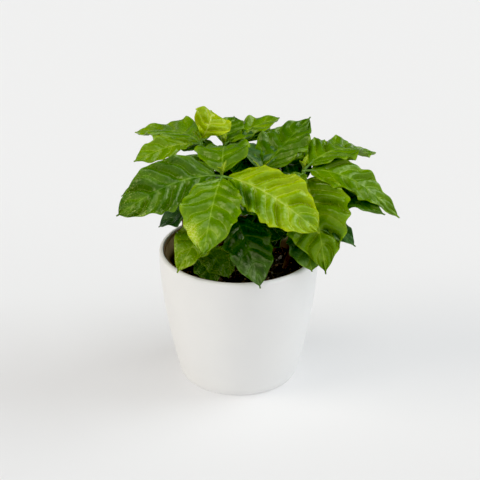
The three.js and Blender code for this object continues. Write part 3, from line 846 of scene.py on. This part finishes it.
def cover_pot(material):
    foot = pot_radius(0) - POT_BASE_ROUND
    shoulder = POT_HEIGHT - POT_LIP
    lip_round = POT_LIP - POT_LIP_ROUND
    floor_edge = pot_radius(POT_FLOOR) - POT_WALL - POT_CORNER_INSET
    corner = (floor_edge - (POT_CORNER_ROUND - POT_CORNER_INSET), POT_FLOOR + POT_CORNER_ROUND)
    outside = np.linspace(POT_BASE_ROUND + POT_BASE_BLEND, shoulder, POT_ROWS_OUTSIDE)
    inside = np.linspace(shoulder, POT_FLOOR + POT_CORNER_ROUND + 1, POT_ROWS_INSIDE)
    profile = [(foot * DISC_SHARE, 0), (foot * POT_FOOT_SHARE, 0)]
    profile += arc((foot, POT_BASE_ROUND), POT_BASE_ROUND, -90, -12, 7)
    profile += [(pot_radius(z), z) for z in outside]
    profile += arc((POT_RIM_RADIUS - POT_LIP_ROUND, POT_HEIGHT - POT_LIP_ROUND), POT_LIP_ROUND, 0, 90, 9)
    profile += arc((POT_RIM_RADIUS - POT_LIP + lip_round, POT_HEIGHT - lip_round), lip_round, 90, 180, 5)
    profile += [(pot_inside(z), z) for z in inside]
    profile += arc(corner, POT_CORNER_ROUND, -10, -90, 6)
    profile += [(floor_edge * DISC_SHARE, POT_FLOOR)]
    turned("cover_pot", profile, material, "pot", "pot")


def liner_radius(z):
    share = (z - LINER_BOTTOM) / (LINER_LIP_HEIGHT - LINER_LIP_DEPTH - LINER_BOTTOM)
    return LINER_BASE_RADIUS + (LINER_LIP_RADIUS - LINER_LIP_OVERHANG - LINER_BASE_RADIUS) * share


def liner_inside(z):
    floor = LINER_BOTTOM + LINER_FLOOR
    low = liner_radius(floor) - LINER_WALL
    top = LINER_LIP_RADIUS - LINER_LIP_OVERHANG - LINER_WALL
    return low + (top - low) * (z - floor) / (LINER_LIP_HEIGHT - floor)


def liner(material):
    bevel = LINER_BASE_BEVEL
    under = LINER_LIP_HEIGHT - LINER_LIP_DEPTH
    floor = LINER_BOTTOM + LINER_FLOOR
    edge = liner_inside(LINER_LIP_HEIGHT)
    lip = (LINER_LIP_RADIUS - LINER_LIP_ROUND, LINER_LIP_HEIGHT - LINER_LIP_ROUND)
    outside = np.linspace(LINER_BOTTOM + bevel, under - bevel, LINER_ROWS)
    inside = np.linspace(LINER_LIP_HEIGHT - LINER_LIP_BEND, floor + LINER_CORNER, LINER_ROWS)
    profile = [(LINER_BASE_RADIUS * DISC_SHARE, LINER_BOTTOM), (LINER_BASE_RADIUS - bevel, LINER_BOTTOM)]
    profile += [(liner_radius(z), z) for z in outside]
    profile += [(LINER_LIP_RADIUS - LINER_LIP_BEVEL, under), (LINER_LIP_RADIUS, under + LINER_LIP_BEVEL)]
    profile += arc(lip, LINER_LIP_ROUND, 0, 90, 5)
    profile += [(edge + LINER_LIP_BEVEL, LINER_LIP_HEIGHT), (edge, LINER_LIP_HEIGHT - LINER_LIP_BEVEL)]
    profile += [(liner_inside(z), z) for z in inside]
    profile += [(liner_inside(floor) - LINER_CORNER, floor), (liner_inside(floor) * DISC_SHARE, floor)]
    turned("nursery_pot_wall", profile, material, "nursery_pot", "nursery_pot")


# Peat

def soil_surface(x, y):
    """Height of the peat: level in the middle, a little lower at the wall, lumpy all over."""
    from_wall = liner_inside(SOIL_HEIGHT) - math.hypot(x, y)
    edge = SOIL_EDGE_DROP * (1 - float(smoothstep(0, SOIL_EDGE_WIDTH, from_wall)))
    lumps = sum(share * noise.noise(Vector((x, y, layer)) / size) for size, share, layer in SOIL_LUMPS)
    return SOIL_HEIGHT - edge - SOIL_SETTLED + SOIL_LUMP_HEIGHT * lumps


def map_from_above(points, faces):
    """A place on the map for each corner, as the pot is seen from above."""
    spots = points[:, :2] / (2 * LINER_LIP_RADIUS) + 0.5
    return [spots[index] for face in faces for index in face]


def peat(material):
    turn = full_turn(PEAT_SIDES)
    wall = liner_inside(SOIL_HEIGHT - SOIL_EDGE_DROP) - SEAT_GAP
    foot = LINER_BOTTOM + LINER_FLOOR + SEAT_GAP
    points = []
    for radius in np.linspace(PEAT_MIDDLE, wall, PEAT_RINGS):
        ring = [(radius * math.cos(a), radius * math.sin(a)) for a in turn]
        points += [(x, y, soil_surface(x, y)) for x, y in ring]
    for z in (SOIL_HEIGHT - SOIL_SKIRT, foot):
        radius = liner_inside(z) - SEAT_GAP
        points += [(radius * math.cos(a), radius * math.sin(a), z) for a in turn]
    points = np.array(points)
    faces = tube_faces(PEAT_RINGS + 2, PEAT_SIDES, inward=True)
    pile = Pile()
    pile.add(points, faces, map_from_above(points, faces))
    pile.piece("peat", material, "soil", ["soil"])


GOLDEN = (1 + 5**0.5) / 2
CLOD_CORNERS = np.array([
    np.roll((0, s, t * GOLDEN), turn) for turn in (2, 0, 1) for s in (-1, 1) for t in (-1, 1)
]) / math.hypot(1, GOLDEN)


def clod_faces():
    """The twenty triangles of a twenty-sided solid, found as the corners that lie an edge apart."""
    reach = 2 / math.hypot(1, GOLDEN) * CLOD_SLACK
    gaps = np.linalg.norm(CLOD_CORNERS[:, None] - CLOD_CORNERS[None], axis=-1)
    faces = []
    for a, b, c in itertools.combinations(range(len(CLOD_CORNERS)), 3):
        if max(gaps[a, b], gaps[b, c], gaps[a, c]) < reach:
            p, q, r = CLOD_CORNERS[[a, b, c]]
            outward = np.dot(np.cross(q - p, r - p), p) > 0
            faces.append([a, b, c] if outward else [a, c, b])
    return faces


def clod_into(pile, faces, place, size, tone, rng):
    stretch = np.array([rng.uniform(*CLOD_STRETCH) for _ in range(3)]) * size
    bumps = np.array([rng.uniform(*CLOD_BUMPS) for _ in CLOD_CORNERS])[:, None]
    angle = rng.uniform(0, 2 * math.pi)
    cos, sin = math.cos(angle), math.sin(angle)
    spin = np.array([[cos, -sin, 0], [sin, cos, 0], [0, 0, 1]])
    points = (CLOD_CORNERS * bumps * stretch) @ spin.T + place
    pile.add(points, faces, map_from_above(points, faces), tone=(tone, 0, 0))


def clear_of_stems(x, y):
    gap = STEM_FOOT_RADIUS + LOOSE_CLEARANCE
    return all(math.dist((x, y), one["foot"]) >= gap for one in SEEDLINGS)


def crumbs(peat_material, stone_material):
    """Loose crumbs, short fibres and a few pale grains on the peat."""
    rng = random.Random(LOOSE_SEED)
    faces = clod_faces()
    loose, grains = Pile(), Pile()
    reach = liner_inside(SOIL_HEIGHT - SOIL_EDGE_DROP) - LOOSE_CLEARANCE
    for n in range(CRUMBS + FIBRES + GRAINS):
        radius, angle = reach * math.sqrt(rng.random()), rng.uniform(0, 2 * math.pi)
        x, y = radius * math.cos(angle), radius * math.sin(angle)
        if not clear_of_stems(x, y):
            continue
        ground = soil_surface(x, y)
        if n < CRUMBS:
            size = CRUMB_SIZE * rng.lognormvariate(0, CRUMB_SPREAD)
            place = (x, y, ground + size * CRUMB_RISE)
            clod_into(loose, faces, place, (size, size, size * CRUMB_FLATNESS), rng.random(), rng)
        elif n < CRUMBS + FIBRES:
            sizes = (rng.uniform(*FIBRE_LENGTHS), FIBRE_WIDTH, FIBRE_THICKNESS)
            tone = FIBRE_TONE + (1 - FIBRE_TONE) * rng.random()
            clod_into(loose, faces, (x, y, ground + FIBRE_RISE), sizes, tone, rng)
        else:
            size = rng.uniform(*GRAIN_SIZES)
            clod_into(grains, faces, (x, y, ground + GRAIN_RISE), (size,) * 3, rng.random(), rng)
    for (x, y), size in KNOBS:
        place = (x, y, soil_surface(x, y) + size * KNOB_RISE)
        clod_into(grains, faces, place, (size,) * 3, KNOB_TONE, rng)
    loose.piece("peat_crumbs", peat_material, "soil", [])
    grains.piece("pale_grains", stone_material, "soil", [])


# Materials

class Value:
    """A number or a colour that nodes work out. Arithmetic with it makes Math nodes."""

    def __init__(self, tree, socket):
        self.tree = tree
        self.socket = socket

    def __add__(self, other):
        return maths("ADD", self, other)

    def __sub__(self, other):
        return maths("SUBTRACT", self, other)

    def __rsub__(self, other):
        return maths("SUBTRACT", other, self)

    def __mul__(self, other):
        return maths("MULTIPLY", self, other)

    def __truediv__(self, other):
        return maths("DIVIDE", self, other)


def feed(socket, value):
    """Links a value to the socket, or sets the socket to a plain number or colour."""
    if isinstance(value, Value):
        value.tree.links.new(value.socket, socket)
    else:
        socket.default_value = value


def maths(operation, *values):
    tree = next(one.tree for one in values if isinstance(one, Value))
    made = tree.nodes.new("ShaderNodeMath")
    made.operation = operation
    for socket, value in zip(made.inputs, values):
        feed(socket, value)
    return Value(tree, made.outputs[0])


def node(tree, kind, result, inputs=(), **settings):
    made = tree.nodes.new("ShaderNode" + kind)
    for key, value in settings.items():
        setattr(made, key, value)
    for key, value in dict(inputs).items():
        feed(made.inputs[key], value)
    return Value(tree, made.outputs[result])


def between(value, low, high):
    """0 where value is low, 1 where it is high, smooth between."""
    inputs = {"Value": value, "From Min": low, "From Max": high}
    return node(value.tree, "MapRange", "Result", inputs, interpolation_type="SMOOTHSTEP")


def mixed(share, first, second):
    """The first colour where share is 0 and the second where it is 1, by a Mix node's colour sockets."""
    made = share.tree.nodes.new("ShaderNodeMix")
    made.data_type = "RGBA"
    for index, value in ((0, share), (6, first), (7, second)):
        feed(made.inputs[index], value)
    return Value(share.tree, made.outputs[2])


def ramp(share, stops):
    made = share.tree.nodes.new("ShaderNodeValToRGB")
    points = made.color_ramp.elements
    while len(points) < len(stops):
        points.new(0.5)
    for point, (at, tint) in zip(points, stops):
        point.position = at
        point.color = tint
    feed(made.inputs["Fac"], share)
    return Value(share.tree, made.outputs["Color"])


def parts_of(vector):
    """The vector's X, Y and Z."""
    made = vector.tree.nodes.new("ShaderNodeSeparateXYZ")
    feed(made.inputs["Vector"], vector)
    return [Value(vector.tree, socket) for socket in made.outputs]


def carried(tree, attribute):
    """The three numbers that each point of the mesh carries under this name."""
    return parts_of(node(tree, "Attribute", "Vector", attribute_name=attribute))


def place_in(tree, space):
    return node(tree, "TexCoord", space)


def grain(tree, scale, detail=3.0, roughness=0.5):
    """Noise in the object's own millimetres: scale is how many lumps lie in a millimetre."""
    place = place_in(tree, "Object")
    inputs = {"Vector": place, "Scale": scale / MM, "Detail": detail, "Roughness": roughness}
    return node(tree, "TexNoise", "Fac", inputs)


def bump(height, depth, normal=None):
    """A bump whose full height is depth, in millimetres."""
    inputs = {"Height": height, "Strength": 1.0, "Distance": depth * MM}
    if normal is not None:
        inputs["Normal"] = normal
    return node(height.tree, "Bump", "Normal", inputs)


def surface(name, recipe, **sockets):
    """A material with its shader's plain values set, and the others as the recipe works them out."""
    made = bpy.data.materials.new(name)
    made.use_nodes = True
    shader = made.node_tree.nodes["Principled BSDF"]
    for key, value in sockets.items():
        shader.inputs[key.replace("_", " ")].default_value = value
    for key, value in recipe(made.node_tree).items():
        feed(shader.inputs[key], value)
    return made


def clouded(value, clouds, swing):
    return clouds * swing + (value - swing / 2)


def dress(tint, roughness, relief):
    return {"Base Color": tint, "Roughness": roughness, "Normal": relief}


def white_glaze(tree):
    tint = mixed(grain(tree, scale=0.035, detail=2.0), POT_WHITE, POT_WHITE_DEEP)
    fine = grain(tree, scale=1.6, detail=4.0)
    swell = bump(grain(tree, scale=0.06, detail=1.0), depth=0.25)
    return dress(tint, roughness=fine * 0.12 + 0.4, relief=bump(fine, depth=0.012, normal=swell))


def moulded_plastic(tree):
    clouds = grain(tree, scale=0.12, detail=4.0)
    dust = between(grain(tree, scale=0.5, detail=6.0, roughness=0.7), low=0.5, high=0.75)
    height = parts_of(place_in(tree, "Object"))[2] / MM
    # Painted light: the wall's colours are much lighter than its taupe plastic
    tint = mixed(clouds, LINER_BROWN_PAINTED_LIT, LINER_BROWN_DEEP_PAINTED_LIT)
    # Dust patches, in a tone that is painted light as well
    tint = mixed(dust, tint, LINER_DUST_PAINTED_LIT)
    # Painted shade: darker deep in the pot, toward the peat
    tint = mixed(between(height, *DEEP_SHADE_FADE), LINER_PAINTED_DEEP_SHADE, tint)
    # The lip keeps the plastic's own brown, above the wall's painted light
    tint = mixed(between(height, *LIP_OWN_BROWN), tint, LINER_LIP_BROWN)
    return dress(tint, roughness=clouds * 0.25 + 0.42, relief=bump(grain(tree, scale=2.2), depth=0.03))


def damp_peat(tree):
    coarse = grain(tree, scale=0.45, detail=6.0, roughness=0.65)
    tint = ramp(coarse, [(0.3, PEAT_BLACK), (0.55, PEAT_BROWN), (0.78, PEAT_PALE)])
    fine = grain(tree, scale=1.5, detail=5.0, roughness=0.7)
    return dress(tint, roughness=coarse * -0.3 + 0.95, relief=bump(fine, depth=0.8))


def crumb_peat(tree):
    spread = clouded(carried(tree, "tone")[0], grain(tree, scale=0.8, detail=4.0), swing=0.3)
    tint = ramp(spread, [(0.1, PEAT_BLACK), (0.6, PEAT_BROWN), (0.85, PEAT_PALE), (1, FIBRE_TAN)])
    relief = bump(grain(tree, scale=2.5, detail=4.0), depth=0.3)
    return dress(tint, roughness=spread * -0.2 + 0.92, relief=relief)


def pale_grain(tree):
    pores = grain(tree, scale=1.8, detail=4.0, roughness=0.7)
    tint = mixed(pores, GRAIN_PALE, GRAIN_SHADE)
    return dress(tint, roughness=pores * 0.2 + 0.7, relief=bump(pores, depth=0.5))


def stem_skin(tree):
    wood = carried(tree, "wood")[0]
    ragged = clouded(wood, grain(tree, scale=0.5, detail=4.0), swing=0.5)
    tint = ramp(ragged, [(0.05, STEM_GREEN), (0.35, STEM_OLIVE), (0.6, BARK_RED), (0.95, BARK_BROWN)])
    specks = between(grain(tree, scale=1.4, detail=2.0), low=0.62, high=0.72) * (wood * BARK_SPECKS)
    relief = bump(grain(tree, scale=2.4, detail=4.0), depth=0.18)
    return dress(mixed(specks, tint, BARK_SPECK), roughness=wood * 0.35 + 0.4, relief=relief)


def leaf_flecks(tree, near_rim, speckle):
    """Pale flecks, most of them toward the rim and the tip."""
    level = speckle * -FLECK_LEVEL_DROP + FLECK_LEVEL
    flecks = between(grain(tree, scale=0.8, detail=4.0, roughness=0.6), level, level + FLECK_SOFTNESS)
    return flecks * between(near_rim, *FLECKS_NEAR_RIM) * maths("MINIMUM", speckle, FLECKS_AT_MOST)


def stripe(away, width, core):
    """1 within a share of the width, its core, and 0 beyond the width."""
    return 1.0 - between(away, width * core, width)


def leaf_relief(tree, from_vein, age):
    """Creases at the side veins, puckers, which grow with age, and a net of fine veins."""
    inputs = {"Vector": place_in(tree, "Object"), "Scale": NET_SCALE / MM}
    net = node(tree, "TexVoronoi", "Distance", inputs, feature="SMOOTH_F1")
    creases = bump(between(from_vein, 0.0, CREASE_WIDTH), VEIN_RELIEF)
    puckers = grain(tree, scale=0.2, detail=1.5) * (age * PUCKERS_BY_AGE + PUCKERS_YOUNG)
    return bump(net, NET_RELIEF, bump(puckers, PUCKER_RELIEF, creases))


def leaf_skin(tree):
    """Glossy above, with a pale midrib and side veins, and paler and duller beneath."""
    along, far, wide = carried(tree, "blade_place")
    vein, vein_share, _ = carried(tree, "blade_pattern")
    own_age, speckle, tip = carried(tree, "blade_age")
    under, bloom, _ = carried(tree, "blade_side")

    # A paler, yellower band at the margin: partly the leaf's own edge colour, partly painted rim light
    margin_and_rim_light = between(far, MARGIN_RIM_LIGHT_FROM, 1.0) * MARGIN_TONE_AND_RIM_LIGHT
    tip_age = between(along, AGE_TIP_FROM, 1.0) * (tip * AGE_TIP)
    # Painted shade of the quilting: paler along each side vein, darker between them
    painted_quilt_shade = maths("COSINE", vein * (2 * math.pi))
    age = clouded(own_age, grain(tree, scale=0.07), AGE_CLOUDS)
    # The age here also carries the painted rim light at the margin and the painted quilt shading
    age = age + (margin_and_rim_light + tip_age) + painted_quilt_shade * QUILT_PAINTED_SHADE
    flecks = leaf_flecks(tree, far + along * FLECKS_NEAR_TIP, speckle)
    green = mixed(flecks, ramp(age, LEAF_GREENS), LEAF_SPECK)
    green = mixed(bloom * BLOOM_SHARE, green, LEAF_BLOOM)

    from_vein = maths("ABSOLUTE", maths("FRACT", vein + 0.5) - 0.5) / vein_share
    veins = stripe(from_vein, far * -VEIN_TAPER + VEIN_WIDTH, VEIN_CORE)
    veins = veins * (1.0 - between(far, *VEIN_FADE))
    rib = stripe(wide, along * -RIB_TAPER + RIB_WIDTH, RIB_CORE)
    lines = maths("MAXIMUM", veins * VEIN_PALENESS, rib * RIB_PALENESS)
    upper = mixed(lines, green, ramp(age, VEIN_GREENS))
    lower = mixed(lines * UNDER_LINES + UNDER_SHARE, green, UNDER_GREEN)

    roughness = grain(tree, scale=0.3) * CLOUD_ROUGHNESS + LEAF_ROUGHNESS
    roughness = roughness + flecks * FLECK_ROUGHNESS + under * UNDER_ROUGHNESS
    return dress(mixed(under, upper, lower), roughness, leaf_relief(tree, from_vein, own_age))


def pale_floor(tree):
    """A floor that glows a little, painted light that keeps the shadows on it faint, and that is painted
    darker toward the front and left as painted shade.
    """
    x, y, _ = parts_of(place_in(tree, "Object"))
    # Painted shade: darker toward the front and left
    painted_shade = between((y + x * FLOOR_PAINTED_SHADE_SKEW) * -1, *FLOOR_PAINTED_SHADE_SPAN)
    tint = mixed(painted_shade, FLOOR_PALE, FLOOR_PAINTED_SHADE)
    return {"Base Color": tint, "Emission Color": tint}


# Studio

def placed(name, data):
    made = bpy.data.objects.new(name, data)
    bpy.context.scene.collection.objects.link(made)
    return made


def photo_camera():
    """Looks down at the photo's angle, placed so that the pot's rim falls where the photo has it."""
    tilt = math.radians(VIEW_TILT)
    ahead = Vector((0, math.cos(tilt), -math.sin(tilt)))
    up = Vector((0, math.sin(tilt), math.cos(tilt)))
    middle = PHOTO_SIDE / 2
    aside = (middle - RIM_CENTRE_PX[0]) / PX_PER_MM
    above = (RIM_CENTRE_PX[1] - middle) / PX_PER_MM
    aim = Vector((aside, 0, POT_HEIGHT)) + up * above
    data = bpy.data.cameras.new("photo_camera")
    data.sensor_width = SENSOR
    data.lens = CAMERA_AWAY * PX_PER_MM / PHOTO_SIDE * SENSOR
    data.clip_start, data.clip_end = CAMERA_CLIP
    camera = placed("photo_camera", data)
    camera.location = (aim - ahead * CAMERA_AWAY) * MM
    camera.rotation_euler = (math.pi / 2 - tilt, 0, 0)
    bpy.context.scene.camera = camera


def window(name, turn, height, spread, share, tint):
    """Soft light from one side. turn and height say from where, and spread how wide, in degrees."""
    turn, height = math.radians(turn), math.radians(height)
    data = bpy.data.lights.new(name, "SUN")
    data.angle = math.radians(spread)
    data.energy = share * math.pi / math.sin(height)
    data.color = tint
    level = math.cos(height)
    toward = Vector((level * math.cos(turn), level * math.sin(turn), math.sin(height)))
    placed(name, data).rotation_euler = toward.to_track_quat("Z", "Y").to_euler()


def air():
    """Pale air, darker overhead, so that leaves mirror it only where they lie flat."""
    world = bpy.data.worlds.new("studio_air")
    bpy.context.scene.world = world
    world.use_nodes = True
    tree = world.node_tree
    height = parts_of(place_in(tree, "Generated"))[2]
    tint = mixed(between(height, *AIR_SPAN), AIR_LOW, AIR_HIGH)
    feed(tree.nodes["Background"].inputs["Color"], tint)


def studio():
    corners = [(x * FLOOR_REACH, y * FLOOR_REACH, 0) for x, y in ((-1, -1), (1, -1), (1, 1), (-1, 1))]
    mesh = bpy.data.meshes.new("floor")
    mesh.from_pydata(corners, [], [(0, 1, 2, 3)])
    floor = placed("floor", mesh)
    plain = dict(Roughness=FLOOR_ROUGHNESS, Specular_IOR_Level=FLOOR_SHINE, Emission_Strength=FLOOR_GLOW)
    floor.data.materials.append(surface("pale_floor", pale_floor, **plain))
    for light in STUDIO_LIGHTS:
        window(**light)
    air()
    picture = bpy.context.scene.view_settings
    picture.view_transform = "Standard"
    picture.use_curve_mapping = True
    picture.curve_mapping.black_level = (BLACK_POINT, BLACK_POINT, BLACK_POINT)
    picture.curve_mapping.update()


photo_camera()
studio()
cover_pot(surface("satin_white_glaze", white_glaze, IOR=1.45))
liner(surface("taupe_moulded_plastic", moulded_plastic, IOR=1.46))
peat(surface("damp_peat", damp_peat))
crumbs(surface("peat_crumbs", crumb_peat), surface("pale_grain", pale_grain))
STEM_SKIN = surface("stem_skin", stem_skin, IOR=1.42)
LEAF_SKIN = surface(
    "leaf_skin", leaf_skin, IOR=1.45, Specular_IOR_Level=LEAF_SHINE, Specular_Tint=LEAF_SHINE_TINT
)
for order, seedling in enumerate(SEEDLINGS):
    bark_of(seedling, STEM_SKIN)
    shoots_of(seedling, STEM_SKIN)
    leaves_of(seedling, order, LEAF_SKIN)
